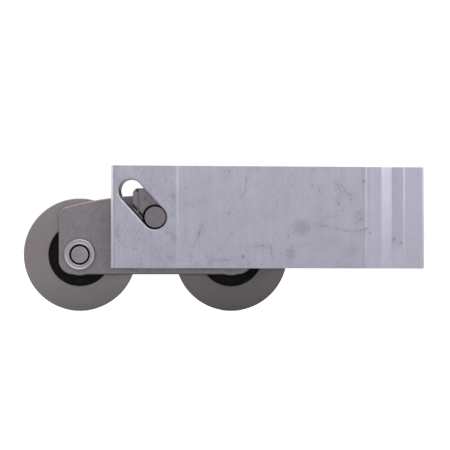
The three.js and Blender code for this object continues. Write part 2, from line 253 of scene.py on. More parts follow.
class Nodes:
    """Short calls for a material's node tree."""

    def __init__(self, name="studio", world=False):
        if world:
            made = bpy.data.worlds.new(name)
            bpy.context.scene.world = made
            made.use_nodes = True
            self.tree = made.node_tree
            self.tree.nodes.clear()
            return
        self.material = bpy.data.materials.new(name)
        self.material.use_nodes = True
        self.tree = self.material.node_tree
        self.shader = self.tree.nodes["Principled BSDF"]
        self.place = self.tree.nodes.new("ShaderNodeTexCoord").outputs["Object"]

    def feed(self, socket, value):
        """Links a socket to another, or gives it a constant."""
        if isinstance(value, bpy.types.NodeSocket):
            self.tree.links.new(value, socket)
        else:
            socket.default_value = value

    def node(self, kind, inputs=None, **settings):
        made = self.tree.nodes.new(kind)
        for key, value in settings.items():
            setattr(made, key, value)
        for key, value in (inputs or {}).items():
            self.feed(made.inputs[key], value)
        return made

    def stretched(self, x, y, z, vector=None):
        """Object coordinates in millimetres, scaled along each axis."""
        scale = (x / MM, y / MM, z / MM)
        mapping = self.node("ShaderNodeMapping", {"Vector": vector or self.place, "Scale": scale})
        return mapping.outputs["Vector"]

    def noise(self, vector, detail=3.0, roughness=0.5, scale=1.0, output="Fac"):
        values = {"Vector": vector, "Scale": scale, "Detail": detail, "Roughness": roughness}
        return self.node("ShaderNodeTexNoise", values).outputs[output]

    def voronoi(self, vector):
        """The distance to the nearest edge between cells."""
        values = {"Vector": vector, "Scale": 1.0}
        made = self.node("ShaderNodeTexVoronoi", values, feature="DISTANCE_TO_EDGE")
        return made.outputs["Distance"]

    def ramp(self, value, low, high, to_low=0.0, to_high=1.0):
        """The value stretched from one range to another, and held inside it."""
        spans = {"From Min": low, "From Max": high, "To Min": to_low, "To Max": to_high}
        made = self.node("ShaderNodeMapRange", {"Value": value, **spans}, clamp=True)
        return made.outputs["Result"]

    def math(self, operation, *values):
        """The operation on one value, or on two or more in turn."""
        total = values[0]
        for value in values[1:] or (0.0,):
            made = self.node("ShaderNodeMath", {0: total, 1: value}, operation=operation)
            total = made.outputs["Value"]
        return total

    def product(self, *values):
        return self.math("MULTIPLY", *values)

    def vector(self, operation, a, b=None, scale=None):
        """A vector operation: a number where it measures, otherwise a vector."""
        inputs = {0: a, 1: b, "Scale": scale}
        given = {key: value for key, value in inputs.items() if value is not None}
        made = self.node("ShaderNodeVectorMath", given, operation=operation)
        measures = operation in ("DOT_PRODUCT", "DISTANCE", "LENGTH")
        return made.outputs["Value" if measures else "Vector"]

    def parts_of(self, vector):
        return self.node("ShaderNodeSeparateXYZ", {"Vector": vector}).outputs

    def steel_tone(self, grain, cloud, speck, swings=(0.5, 0.6, 0.5), depths=(0.004, 0.003)):
        """A tone about zero from a grain, clouds and specks. Grain and specks raise the surface."""
        clouds = self.noise(self.stretched(cloud, cloud, cloud), detail=4.0, roughness=0.6)
        specks = self.noise(self.stretched(speck, speck, speck))
        self.bump((grain, depths[0]), (specks, depths[1]))
        bands = (NOISE_BAND, NOISE_BAND, (0.35, 0.65))
        layers = zip((grain, clouds, specks), bands, swings)
        ramps = [self.ramp(s, *band, -swing, swing) for s, band, swing in layers]
        return self.math("ADD", *ramps)

    def mix(self, factor, a, b):
        """Colour a, turning into b as the factor goes to 1."""
        made = self.node("ShaderNodeMix", {0: factor, 6: a, 7: b}, data_type="RGBA")
        return made.outputs[2]

    def from_pin(self):
        """X, Y and Z in millimetres from the pivot pin's centre at rest."""
        moved = self.vector("SUBTRACT", self.place, PIN)
        return self.parts_of(self.vector("SCALE", moved, scale=1 / MM))

    def flattened(self, parts, wander=0.0):
        """The same place with no depth, pushed about by up to half of the given millimetres."""
        sides = {"X": parts["X"], "Z": parts["Z"]}
        flat = self.node("ShaderNodeCombineXYZ", sides).outputs["Vector"]
        if not wander:
            return flat
        cloudy = self.noise(flat, scale=0.7, output="Color")
        centred = self.vector("SUBTRACT", cloudy, (0.5, 0.5, 0.5))
        return self.vector("ADD", flat, self.vector("SCALE", centred, scale=wander))

    def trail(self, place, points):
        """The distance from a flat place to a line through (x, z) points."""
        nearest = None
        for (x0, z0), (x1, z1) in zip(points, points[1:]):
            span = Vector((x1 - x0, 0, z1 - z0))
            local = self.vector("SUBTRACT", place, (x0, 0, z0))
            reach = self.vector("DOT_PRODUCT", local, span / span.length_squared)
            foot = self.vector("SCALE", span, scale=self.ramp(reach, 0.0, 1.0))
            away = self.vector("DISTANCE", local, foot)
            nearest = away if nearest is None else self.math("MINIMUM", nearest, away)
        return nearest

    def blot(self, place, x, z, radius, strength):
        """A soft round stain."""
        away = self.vector("DISTANCE", place, (x, 0, z))
        return self.ramp(away, radius * 0.4, radius, strength, 0.0)

    def flat_on_y(self):
        """1 on faces square to Y, falling to 0 round their edges."""
        normal = self.node("ShaderNodeTexCoord").outputs["Normal"]
        return self.ramp(self.math("ABSOLUTE", self.parts_of(normal)["Y"]), 0.62, 0.96)

    def with_edge_highlight(self, shade, amount, colour):
        """The shade, painted brighter where a face turns away from Y: a painted highlight on edges.
        """
        edge = self.math("SUBTRACT", 1.0, self.flat_on_y())
        return self.mix(self.product(edge, amount), shade, tint(0.85, colour))

    def painted_shade_over(self, amount, shade, rough):
        """A colour and roughness with a matt dark colour over them: painted shade."""
        return self.mix(amount, shade, PAINTED_SHADE), self.math("MAXIMUM", rough, amount)

    def bump(self, *heights):
        """Raises the surface by the sum of (socket, millimetres) pairs."""
        height = self.math("ADD", *(self.product(s, depth) for s, depth in heights))
        made = self.node("ShaderNodeBump", {"Height": height, "Distance": MM})
        self.set(Normal=made.outputs["Normal"])

    def stretch_gloss(self, axis, amount, turn=0.0):
        """Spreads reflections across fine lines: round an axis, or along it at a quarter turn."""
        tangent = self.node("ShaderNodeTangent", direction_type="RADIAL", axis=axis)
        self.set(Tangent=tangent.outputs["Tangent"], Anisotropic=amount, Anisotropic_Rotation=turn)

    def set(self, **values):
        """Feeds the shader's sockets, with _ for each space in a socket's name."""
        for key, value in values.items():
            self.feed(self.shader.inputs[key.replace("_", " ")], value)


def tint(level, colour):
    """A linear colour: a base level times a tint."""
    return (*(level * part for part in colour), 1.0)


ALUMINIUM_TINT = (1.0, 0.985, 1.17)
STEEL_TINT = (1.0, 0.91, 0.99)
WARM_TINT = (1.0, 0.9, 0.93)
ZINC_TINT = (1.0, 1.0, 0.97)
GROUND_TINT = (1.0, 0.99, 0.98)
NYLON_DARK = (0.58, 0.52, 0.37, 1)
NYLON_LIGHT = (0.68, 0.62, 0.46, 1)
# Painted shade colour for the gaps round the pins and axles.
PAINTED_SHADE = (0.02, 0.018, 0.018, 1)
# Painted shade colour for the carriage plates.
PLATE_PAINTED_SHADE = (0.02, 0.018, 0.02, 1)
# Real dirt, and painted shade, on the housing.
DIRT_AND_SHADE = (0.07, 0.065, 0.075, 1)
# Painted reflection colour for the V groove's flank.
PAINTED_REFLECTION = (0.89, 0.868, 1.0, 1)
TONE_BAND = (-1.4, 1.4)  # the range of a steel's summed tone

# Handling marks on the housing's front face, in millimetres from the pin: fine wandering lines as
# (x, z) points, and stains as x, z, radius and strength.
MARK_LINES = (
    ((30.8, 13.6), (30.4, 9.1), (29.1, 6.5)),
    ((61.2, 11.3), (62.6, 8.1), (61.2, 5.7), (61.7, 4.4)),
    ((62.8, 10.4), (65.7, 7.1)),
    ((67.4, 0.1), (69.1, 2.3), (69.6, -0.4), (67.6, -2.2)),
    ((54.5, -2.7), (59.5, -3.6), (65.1, -5.0), (70.7, -4.2)),
    ((33.6, -9.8), (38.7, -9.8), (39.5, -14.0)),
    ((18.2, -15.1), (20.1, -14.5), (25.2, -14.5)),
    ((15.9, -2.7), (13.0, -10.1)),
    ((55.2, 10.1), (55.4, 8.4)),
    ((6.0, 8.2), (6.4, 5.8)),
    ((5.6, -4.6), (6.6, -8.2)),
    ((-12.4, -2.6), (-13.0, -6.4), (-11.0, -9.6)),
    ((4.4, -13.2), (6.3, -14.6)),
)
MARK_BLOTS = (
    (49.4, -3.3, 3.6, 0.3), (45.7, -12.3, 2.4, 0.24),
    (60.5, -8.0, 3.0, 0.08), (66.5, -11.0, 3.2, 0.07),
    (24.9, 15.4, 0.5, 0.7), (42.2, 14.4, 0.45, 0.5),
    (25.8, -5.3, 0.45, 0.5), (29.7, -13.4, 0.7, 0.4),
    (31.6, -15.6, 0.6, 0.4), (12.3, -13.1, 0.8, 0.3),
    (70.2, 12.2, 0.7, 0.35), (70.9, -4.1, 0.8, 0.4),
    (72.4, -5.4, 0.7, 0.35), (80.5, -7.5, 0.9, 0.3),
    (82.9, -8.5, 0.6, 0.6), (5.9, 7.1, 1.5, 0.28),
    (5.9, 1.0, 1.3, 0.2), (4.6, -5.4, 1.2, 0.24),
    (6.3, -6.8, 1.4, 0.3), (5.9, -12.9, 1.0, 0.22),
    (-12.7, -6.2, 1.5, 0.26), (-11.7, -4.2, 0.9, 0.2),
)


def aluminium():
    """Mill-finish extrusion: faint drawing lines, cloudy tone, specks, stains and marks."""
    m = Nodes("mill_aluminium")
    parts = m.from_pin()
    x, y, z = parts["X"], parts["Y"], parts["Z"]
    lines = m.noise(m.stretched(4.5, 4.5, 0.045), detail=4.0)
    streaks = m.noise(m.stretched(0.8, 0.8, 0.05), detail=3.0)
    cloud = m.noise(m.stretched(0.13, 0.13, 0.12), detail=5.0, roughness=0.62)
    grit = m.noise(m.stretched(1.5, 1.5, 1.2), detail=4.0, roughness=0.7)
    smear = m.noise(m.stretched(1.1, 1.1, 0.55), detail=5.0, roughness=0.72)
    tone = m.math(
        "ADD",
        m.ramp(lines, *NOISE_BAND, -0.018, 0.018),
        m.ramp(streaks, *NOISE_BAND, -0.032, 0.032),
        m.ramp(cloud, *NOISE_BAND, -0.05, 0.045),
        m.ramp(grit, 0.33, 0.67, -0.03, 0.022),
    )
    # The pad round the slot is the most handled.
    pad = m.ramp(x, PAD_END - 0.2, PAD_END + 2.2, 1.0, 0.22)
    handled = m.product(pad, m.ramp(z, 12.0, -2.0, 0.85, 0.75))
    clumps = m.ramp(m.noise(m.stretched(0.3, 0.3, 0.22), detail=2.0), 0.42, 0.6, 0.35, 1.0)
    past_cut = m.ramp(x, CUT_CORNER - 0.1, CUT_CORNER + 0.5)
    smudge = m.product(m.ramp(smear, 0.48, 0.72, 0.0, 0.38), handled, clumps, past_cut)
    # Broken hairlines that wander over every face.
    bent = m.noise(m.stretched(0.5, 0.5, 0.5), output="Color")
    offset = m.vector("MULTIPLY", bent, (2.2, 2.2, 2.2))
    wander = m.vector("ADD", m.stretched(0.42, 0.42, 0.3), offset)
    hair = m.ramp(m.voronoi(wander), 0.0, 0.035, 1.0, 0.0)
    gate = m.ramp(m.noise(m.stretched(0.16, 0.16, 0.2), detail=2.0), 0.45, 0.6)
    broken = m.ramp(m.noise(m.stretched(1.7, 1.7, 1.2), detail=2.0), 0.45, 0.58)
    fewer_on_right = m.ramp(x, 68.0, 71.5, 1.0, 0.15)
    hair = m.product(hair, gate, broken, 0.5, fewer_on_right)
    # The larger marks of the front face.
    on_front = m.ramp(y, -8.0, -9.0)
    roaming = m.flattened(parts, 1.6)
    nearest = 100.0  # further than any mark
    for points in MARK_LINES:
        nearest = m.math("MINIMUM", nearest, m.trail(roaming, points))
    halo = m.product(m.ramp(nearest, 0.2, 1.7, 0.2, 0.0), m.ramp(smear, 0.4, 0.65))
    core = m.product(m.ramp(nearest, 0.08, 0.42, 0.4, 0.0), m.ramp(grit, 0.38, 0.58))
    stains = 0.0
    for blot in MARK_BLOTS:
        stains = m.math("MAXIMUM", stains, m.blot(roaming, *blot))
    stains = m.product(stains, m.ramp(grit, 0.36, 0.6, 0.35, 1.0))
    front_dirt = m.product(m.math("MAXIMUM", core, halo, stains), on_front)
    # Painted shade on the walls inside the slot, darkest on the lower left, and a faint darkening
    # on the lip round it.
    slot = m.trail(m.flattened(parts), (SLOT_START, SLOT_END))
    across_slot = m.math("ADD", m.product(x, 0.735), m.product(z, 0.678))
    lower_right = m.ramp(m.math("SUBTRACT", x, z), 2.5, 5.0, 1.0, 0.3)
    slot_wall_shade = m.product(
        m.ramp(slot, SLOT_R - 0.02, SLOT_R + 0.06, 1.0, 0.0),
        m.ramp(across_slot, -3.0, 3.0, 0.95, 0.55),
        lower_right,
    )
    on_lip = m.ramp(slot, SLOT_R + 0.1, SLOT_R + 0.6, 0.22, 0.0)
    # A thin line of painted shade in the small groove just inside the cut end, whose rounded corner
    # gets a painted highlight.
    line_start = m.ramp(x, CUT_CORNER, CUT_CORNER + 0.15, 0.0, 0.12)
    groove_shade = m.product(line_start, m.ramp(x, CUT_CORNER + 0.8, CUT_CORNER + 0.4))
    # Real dirt mixed with the painted shade in the slot, on its lip and in the groove.
    dirt_and_shade = m.math("MAXIMUM", smudge, hair, front_dirt, slot_wall_shade, on_lip, groove_shade)
    dark, light = tint(0.64, ALUMINIUM_TINT), tint(0.84, ALUMINIUM_TINT)
    clean = m.mix(m.ramp(tone, -0.12, 0.12), dark, light)
    # Low on the right flank of the V groove the colour is painted brighter: a painted reflection.
    edge = m.math("ADD", z, m.ramp(smear, *NOISE_BAND, -1.2, 1.2))
    past_bottom = m.ramp(x, GROOVE_X - 0.2, GROOVE_X + 0.4)
    short_of_top = m.ramp(x, FLANK_TOP - 0.1, FLANK_TOP - 0.4)
    painted_light_part = m.product(m.ramp(edge, -9.2, -11.4), past_bottom, short_of_top, on_front)
    clean = m.mix(painted_light_part, clean, PAINTED_REFLECTION)
    # A painted highlight on the rounded corner at the cut end.
    clean = m.mix(m.ramp(x, CUT_CORNER, CUT_CORNER - 0.2), clean, tint(0.97, ALUMINIUM_TINT))
    # The end past the step is the cleanest.
    past_step = m.ramp(x, STEP_X - 0.3, STEP_X + 0.3, 0.0, 0.35)
    clean = m.mix(past_step, clean, tint(0.93, ALUMINIUM_TINT))
    # The dirt and the painted shade stay out of the bump, which would overfill the renderer's
    # shader stack.
    m.bump((lines, 0.005), (grit, 0.006))
    rough = m.math("ADD", m.ramp(lines, *NOISE_BAND, 0.38, 0.48), m.product(dirt_and_shade, 0.2))
    m.set(Base_Color=m.mix(dirt_and_shade, clean, DIRT_AND_SHADE), Metallic=1.0, Roughness=rough)
    m.stretch_gloss("Z", 0.5)
    return m.material


def plate_painted_shade(m):
    """Painted shade on the carriage plates: a painted shadow beside and under the housing's edge,
    painted shade inside the housing and painted contact shadows round the axles' collars.
    """
    parts = m.from_pin()
    x, z = parts["X"], parts["Z"]
    # Painted shadow on the plate beside the housing's left edge, and painted shade inside the
    # housing, seen through the slot.
    fading_down = m.ramp(z, -17.5, -15.5, 0.3, 1.0)
    housing_shade = m.product(m.ramp(x, -24.0, -16.0, 0.0, 0.14), fading_down)
    inside = m.product(m.ramp(x, -14.5, -13.5, 0.0, 0.36), m.ramp(z, -17.0, -16.0))
    # A painted shadow band just under the housing's bottom edge.
    band = m.product(m.ramp(z, -18.8, -17.6), m.ramp(z, -16.6, -17.2))
    band = m.product(band, m.ramp(x, -15.6, -14.6, 0.0, 0.12))
    # Painted contact shadows round the axles' collars.
    flat = m.flattened(parts)
    rings = [m.blot(flat, end * AXLE_X, -AXLE_DROP, 6.3, 0.75) for end in (-1, 1)]
    return m.math("MAXIMUM", housing_shade, inside, band, *rings)


def pin_painted_shade(m, full, none):
    """Painted shade round the pin, fading between two radii, and weaker towards the lower right."""
    parts = m.from_pin()
    away = m.vector("LENGTH", m.flattened(parts))
    painted_light_part = m.ramp(m.math("SUBTRACT", parts["X"], parts["Z"]), 1.5, 4.5, 1.0, 0.4)
    on_face = m.ramp(m.flat_on_y(), 0.0, 1.0, 0.75, 1.0)
    return m.product(m.ramp(away, none, full), painted_light_part, on_face)


def steel(
    name, level, colour, roughness, grain, mottling=0.08, edge_highlight_amount=0.0, plate_shade=False, pin_shade=None
):
    """Bare steel with a fine grain and a low mottling. A stamping's edges can be painted brighter
    as a painted highlight, and painted shade can lie on the plates and round the pin.
    """
    m = Nodes(name)
    tone = m.steel_tone(m.noise(m.stretched(*grain), detail=4.0), 0.3, 2.4)
    dark, light = tint(level * (1 - mottling), colour), tint(level * (1 + mottling), colour)
    shade = m.mix(m.ramp(tone, *TONE_BAND), dark, light)
    rough = m.ramp(tone, *TONE_BAND, roughness + 0.06, roughness - 0.06)
    # Edges painted brighter: a painted highlight.
    if edge_highlight_amount:
        shade = m.with_edge_highlight(shade, edge_highlight_amount, colour)
    # Painted shade from the housing and the collars.
    if plate_shade:
        shade = m.mix(plate_painted_shade(m), shade, PLATE_PAINTED_SHADE)
    # Painted shade round the pin.
    if pin_shade:
        shade, rough = m.painted_shade_over(pin_painted_shade(m, *pin_shade), shade, rough)
    m.set(Base_Color=shade, Metallic=1.0, Roughness=rough)
    return m.material


def link_steel():
    """The links' steel, with painted shade round the pin, along the slot's lower-left edge and in a
    streak, dark spots, and a painted highlight where they pass behind the slot.
    """
    m = Nodes("link_steel")
    tone = m.steel_tone(m.noise(m.stretched(0.6, 3.0, 3.0), detail=4.0), 0.35, 2.4)
    shade = m.mix(m.ramp(tone, *TONE_BAND), tint(0.3, STEEL_TINT), tint(0.42, STEEL_TINT))
    # Edges painted brighter: a painted highlight.
    shade = m.with_edge_highlight(shade, 0.5, STEEL_TINT)
    parts = m.from_pin()
    roaming = m.flattened(parts, 0.5)
    # Painted shade: a dark streak, and a painted shadow along the slot's lower-left edge.
    shade_streak = m.ramp(m.trail(roaming, ((-5.7, 8.6), (-5.6, 1.0))), 0.15, 0.6, 0.35, 0.0)
    slot_edge_shadow = m.ramp(m.trail(roaming, ((-8.3, 5.0), (-1.0, -3.4))), 0.25, 0.7, 0.75, 0.0)
    # Painted shade in a crescent round the pin.
    beside_pin = m.trail(m.flattened(parts), (LINK_HOLE, (-0.1, 0.1)))
    pin_shade = m.ramp(beside_pin, 3.85, 4.1, 0.95, 0.0)
    spots = [m.blot(roaming, -6.0, 9.0, 0.75, 0.8), m.blot(roaming, -3.4, 6.2, 0.8, 0.25)]
    rough = m.ramp(tone, *TONE_BAND, 0.48, 0.36)
    shade_and_spots = m.math("MAXIMUM", shade_streak, slot_edge_shadow, pin_shade, *spots)
    shade, rough = m.painted_shade_over(shade_and_spots, shade, rough)
    # A painted highlight: a lighter spot.
    shade = m.mix(m.blot(roaming, -5.9, 2.0, 0.6, 0.5), shade, tint(0.7, STEEL_TINT))
    m.set(Base_Color=shade, Metallic=1.0, Roughness=rough)
    return m.material


def turned_steel(
    name, centre, level, colour, roughness, mottling=0.06, stretch=0.6, bore=0.0, rim=0.0, low_shade=0.0
):
    """Steel turned round an axis along Y, with rings in its bump and tone about a centre. It can
    carry painted shade inside a bore's radius or beyond a rim's, and painted shade towards the
    bottom of its face."""
    m = Nodes(name)
    parts = m.parts_of(m.place)
    x = m.math("SUBTRACT", parts["X"], centre.x)
    z = m.math("SUBTRACT", parts["Z"], centre.z)
    away = m.math("SQRT", m.math("ADD", m.product(x, x), m.product(z, z)))
    radial = m.node("ShaderNodeCombineXYZ", {"X": away, "Y": parts["Y"]}).outputs["Vector"]
    rings = m.noise(m.stretched(7.0, 1.0, 1.0, radial), detail=3.0)
    tone = m.steel_tone(rings, 0.22, 2.2, swings=(0.6, 0.5, 0.4), depths=(0.005, 0.002))
    dark, light = tint(level * (1 - mottling), colour), tint(level * (1 + mottling), colour)
    shade = m.mix(m.ramp(tone, *TONE_BAND), dark, light)
    rough = m.ramp(tone, *TONE_BAND, roughness + 0.05, roughness - 0.05)
    # Painted shade inside the bore, for the dark gap round the axle.
    if bore:
        inside = m.ramp(away, bore * MM, (bore - 0.08) * MM)
        shade, rough = m.painted_shade_over(inside, shade, rough)
    # Painted shade beyond the rim, for the dark gap round the axle's end.
    if rim:
        outside = m.ramp(away, rim * MM, (rim + 0.05) * MM)
        shade, rough = m.painted_shade_over(outside, shade, rough)
    # Painted shade towards the bottom of the face.
    if low_shade:
        shade = m.mix(m.ramp(z, 0.012, -0.019, 0.0, low_shade), shade, tint(0.02, colour))
    m.set(Base_Color=shade, Metallic=1.0, Roughness=rough)
    m.stretch_gloss("Y", stretch, 0.25)
    return m.material


def rubber():
    m = Nodes("seal_rubber_black")
    grain = m.noise(m.stretched(3.5, 3.5, 3.5), detail=3.0)
    dust = m.noise(m.stretched(0.5, 0.5, 0.5), detail=4.0)
    colour = m.mix(m.ramp(dust, 0.45, 0.75), (0.004, 0.004, 0.005, 1), (0.012, 0.011, 0.011, 1))
    rough = m.ramp(grain, *NOISE_BAND, 0.5, 0.7)
    m.bump((grain, 0.01))
    m.set(Base_Color=colour, Roughness=rough, Specular_IOR_Level=0.22)
    return m.material


def nylon():
    m = Nodes("cage_nylon_natural")
    grain = m.noise(m.stretched(2.0, 2.0, 2.0), detail=3.0)
    colour = m.mix(m.ramp(grain, *NOISE_BAND), NYLON_DARK, NYLON_LIGHT)
    rough = m.ramp(grain, *NOISE_BAND, 0.45, 0.6)
    m.bump((grain, 0.01))
    m.set(Base_Color=colour, Roughness=rough)
    m.set(Subsurface_Weight=0.15, Subsurface_Radius=(0.001, 0.001, 0.0008))
    return m.material


def dress(piece, material, slot, body, *nodes):
    """Gives a piece its material and body, and hides the CAD nodes that it stands for. The slot is
    not used.
    """
    piece.data.materials.clear()
    piece.data.materials.append(material)
    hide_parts(*nodes)
    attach(piece, body)
    return piece


# ---- housing ----
HOUSING_LOW, HOUSING_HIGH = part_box("housing")
LEFT, BOTTOM = from_pin(HOUSING_LOW)
RIGHT, TOP = from_pin(HOUSING_HIGH)
HALF_W = HOUSING_HIGH.y / MM
INNER = 10.2  # from the middle to the inside of a long wall
WEB = (70.0, 72.5)
END_WALL = 2.5
CUT_CORNER = -14.1  # just inside the left end
PAD_END = 6.0  # where the raised pad round the slot ends
STEP_X = 71.3
GROOVE_X = 79.8  # the bottom of the V groove
FLANK_TOP = 83.6
GROOVE_DEPTH = 1.9
SLOT_ANGLE = 180 - 47.3
SLOT_LENGTH = 12.1
SLOT_START = (-0.12, -0.13)
SLOT_END = (
    SLOT_START[0] + SLOT_LENGTH * cos(radians(SLOT_ANGLE)),
    SLOT_START[1] + SLOT_LENGTH * sin(radians(SLOT_ANGLE)),
)
SLOT_R = 3.97
SCREW_Z = 4.5
SCREW_HOLE_R = 3.3
ACCESS_R = 4.2
TOP_CUT_FALL = 0.7  # the saw cuts aren't quite square: each falls this much to the right
BOTTOM_CUT_FALL = 0.2


def side_profile():
    """One long side of the plan, left to right, on the side of negative y."""
    face = -HALF_W
    pad = face + 0.08
    flat = face + 0.25
    groove = face + GROOVE_DEPTH
    return [
        (LEFT, face + 0.9, 0.12),
        (LEFT + 0.66, face + 0.02, 0.12),
        (LEFT + 0.82, face + 0.02, 0.05),
        (LEFT + 0.97, face + 0.2, 0.05),
        (LEFT + 1.3, pad, 0.1),
        (PAD_END - 0.8, pad, 0.4),
        (PAD_END + 0.2, face, 0.4),
        (7.2, face, 0.2),
        (7.9, flat, 0.3),
        (69.7, flat, 0.2),
        (70.8, face + 0.02, 0.15),
        (STEP_X, face + 0.24, 0.08),
        (71.9, face + 0.22, 0.2),
        (72.6, face + 0.12, 0.2),
        (73.8, face + 0.22, 0.3),
        (76.3, face + 0.2, 0.3),
        (GROOVE_X, groove + 0.1, 0.2),
        (FLANK_TOP, face + 0.02, 0.12),
        (84.1, face + 0.24, 0.08),
        (84.6, face + 0.22, 0.3),
        (88.2, face + 0.2, 0.3),
        (89.2, face + 0.02, 0.3),
        (RIGHT, face, 0.75),
    ]


def mirrored(corners):
    """The same corners on the other side of the X axis, run backwards."""
    return [(x, -y, *r) for x, y, *r in reversed(corners)]


def end_cell():
    """The closed cell between the web and the end wall, its sides bent in behind the grooves."""
    wall = 2.2
    bend = HALF_W - GROOVE_DEPTH - wall
    side = [
        (WEB[1], -INNER, 0.6),
        (76.4, -INNER, 0.5),
        (GROOVE_X, -bend, 0.6),
        (83.8, -INNER, 0.5),
        (RIGHT - END_WALL, -INNER, 0.6),
    ]
    return rounded(side + mirrored(side))


def flared_slot(side):
    """Cutter for the pin's slot through one wall, with a rounded lip at both faces."""
    outer, inner = side * HALF_W, side * INNER
    lean = Vector((0.4, 0.24))  # the punch was out of square, so the wall is seen on one side
    levels = [(inner - side, 0.2, 1), (inner, 0.05, 1), (inner + side * 0.12, 0, 1)]
    rounding = ((0.6, 0), (0.5, 0.03), (0.42, 0.1), (0.35, 0.22), (0.29, 0.38), (0.2, 0.6))
    levels += [(outer - side * depth, grow, 0) for depth, grow in rounding]
    levels.append((outer + side, 0.6, 0))
    bm = bmesh.new()
    rings = []
    for w, grow, leaning in levels:
        start = Vector(SLOT_START) + lean * leaning
        rings.append([(x, w, z) for x, z in stadium(start, SLOT_LENGTH, SLOT_ANGLE, SLOT_R + grow)])
    made = add_rings(bm, rings)
    bm.faces.new(made[0])
    bm.faces.new(made[-1])
    return finish_mesh("slot_cutter", bm, PIN)


def flared_hole(radius, x0, x1):
    """Cutter for a round hole along X through a wall from x0 to x1."""
    lip = 0.2
    profile = [(0, x0 - 1), (radius + lip, x0 - 1), (radius + lip, x0), (radius, x0 + lip)]
    profile += [(radius, x1 - lip), (radius + lip, x1), (radius + lip, x1 + 1), (0, x1 + 1)]
    bm = lathe_mesh(profile, 48)
    return finish_mesh("hole_cutter", bm, PIN + Vector((0, 0, SCREW_Z * MM)), X_AXIS)


def housing(material):
    side = side_profile()
    inside = [(LEFT, INNER, 0.35), (WEB[0], INNER, 0.8)]
    plan = rounded(side + mirrored(side) + inside + mirrored(inside), steps=5)
    bm = prism_mesh(plan, [end_cell()], BOTTOM, TOP, 0.1)
    for vert in bm.verts:
        along = (vert.co.x - LEFT) / (RIGHT - LEFT)
        vert.co.z += -TOP_CUT_FALL * along if vert.co.z > 0 else BOTTOM_CUT_FALL * (1 - along)
    made = finish_mesh("housing_extrusion", bm, PIN)
    holes = [flared_hole(SCREW_HOLE_R, *WEB), flared_hole(ACCESS_R, RIGHT - END_WALL, RIGHT)]
    cut(made, [flared_slot(-1), flared_slot(1), *holes])
    return dress(made, material, "extrusion", "housing", "housing")


# ---- carriage ----
CLEARANCE = 0.15
GRIP = 0.02  # a press fit bites this deep, so that no light passes
SLEEVE_R = 4.3
AXLE, _ = middle("right_wheel")
AXLE_X = from_pin(AXLE)[0]
AXLE_DROP = -from_pin(AXLE)[1]


def round_hole(x, z, radius):
    return arc(x, z, radius, 0, 350, 35)


def carriage_outline():
    """Seen from the front: rounded corners, an arched top and a low bulge under each axle."""
    bulge, below_axle, top, arch = 7.1, 6.72, 7.5, 115.0
    bottom = -AXLE_DROP - below_axle
    edge = AXLE_X + bulge
    arch_edge = edge - 5

    def on_arch(x):
        return x, top - arch + sqrt(arch * arch - x * x)

    half = [(0, bottom)]
    low = degrees(asin(below_axle / bulge))
    half += arc(AXLE_X, -AXLE_DROP, bulge, low - 180, -low, 12)
    lower_corner = [(AXLE_X, bottom), (edge, bottom, 4.75), (edge, bottom + 12)]
    half += rounded(lower_corner, 14, False)[1:-1]
    corner = on_arch(edge)
    upper_corner = [(edge, corner[1] - 9), (*corner, 3.0), on_arch(arch_edge)]
    half += rounded(upper_corner, 12, False)[1:-1]
    half += [on_arch(arch_edge * (1 - i / 24)) for i in range(25)]
    return half + [(-x, z) for x, z in reversed(half[1:-1])]


def carriage_plate(label, material):
    node = f"carriage_plate_{label}"
    centre, size = middle(node)
    holes = [round_hole(0, 0, PIN_R + CLEARANCE)]
    holes += [round_hole(end * AXLE_X, -AXLE_DROP, SLEEVE_R + CLEARANCE) for end in (-1, 1)]
    half = size.y / 2
    bm = prism_mesh(carriage_outline(), holes, -half, half, 0.5)
    made = finish_mesh(f"side_plate_{label}", bm, Vector((PIN.x, centre.y, PIN.z)), Y_AXIS)
    return dress(made, material, "stamping", "carriage", node)


def hub_sleeve(label, material):
    """A tube swaged over at both ends into a collar with a shallow ring groove."""
    node = f"{label}_hub_sleeve"
    centre, size = middle(node)
    head, neck, outer = size.y / 2, 6.62, size.x / 2
    grip = middle(f"{label}_axle_pin")[1].x / 2 - GRIP
    corners = [
        (grip, 0),
        (grip, head - 1.9, 0.3),
        (3.3, head - 1.6, 0.15),
        (3.46, head - 0.3, 0.08),
        (3.76, head, 0.12),
        (4.04, head - 0.26, 0.1),
        (4.6, head - 0.24, 0.1),
        (outer - 0.36, head, 0.1),
        (outer - 0.12, head - 0.16, 0.06),
        (outer, head - 0.3, 0.06),
        (outer, neck, 0.12),
        (SLEEVE_R, neck, 0.05),
        (SLEEVE_R, 0),
    ]
    half = rounded(corners, 5, False)
    bm = lathe_mesh(half + flipped(half[1:-1]), 72)
    made = finish_mesh(f"{label}_swaged_sleeve", bm, centre, Y_AXIS)
    return dress(made, material, "turned_steel", "carriage", node)


def axle_pin(label, material):
    """A pin whose ends carry a rounded edge and the small dimple of a lathe centre."""
    node = f"{label}_axle_pin"
    centre, size = middle(node)
    radius, half = size.x / 2, size.y / 2
    corners = [
        (0, half - 0.22),
        (0.2, half - 0.1, 0.05),
        (0.45, half - 0.06, 0.1),
        (radius * 0.6, half, 1.2),
        (radius, half - 0.03, 0.06),
        (radius, 0),
    ]
    top = rounded(corners, 5, False)
    bm = lathe_mesh(top + flipped(top[:-1]), 56)
    made = finish_mesh(f"{label}_axle", bm, centre, Y_AXIS, 40)
    return dress(made, material, "turned_steel", "carriage", node)


# ---- wheels ----
BALLS = range(1, 8)
BALL_R = 2.0
PITCH_R = 8.2
GROOVE_R = 2.1


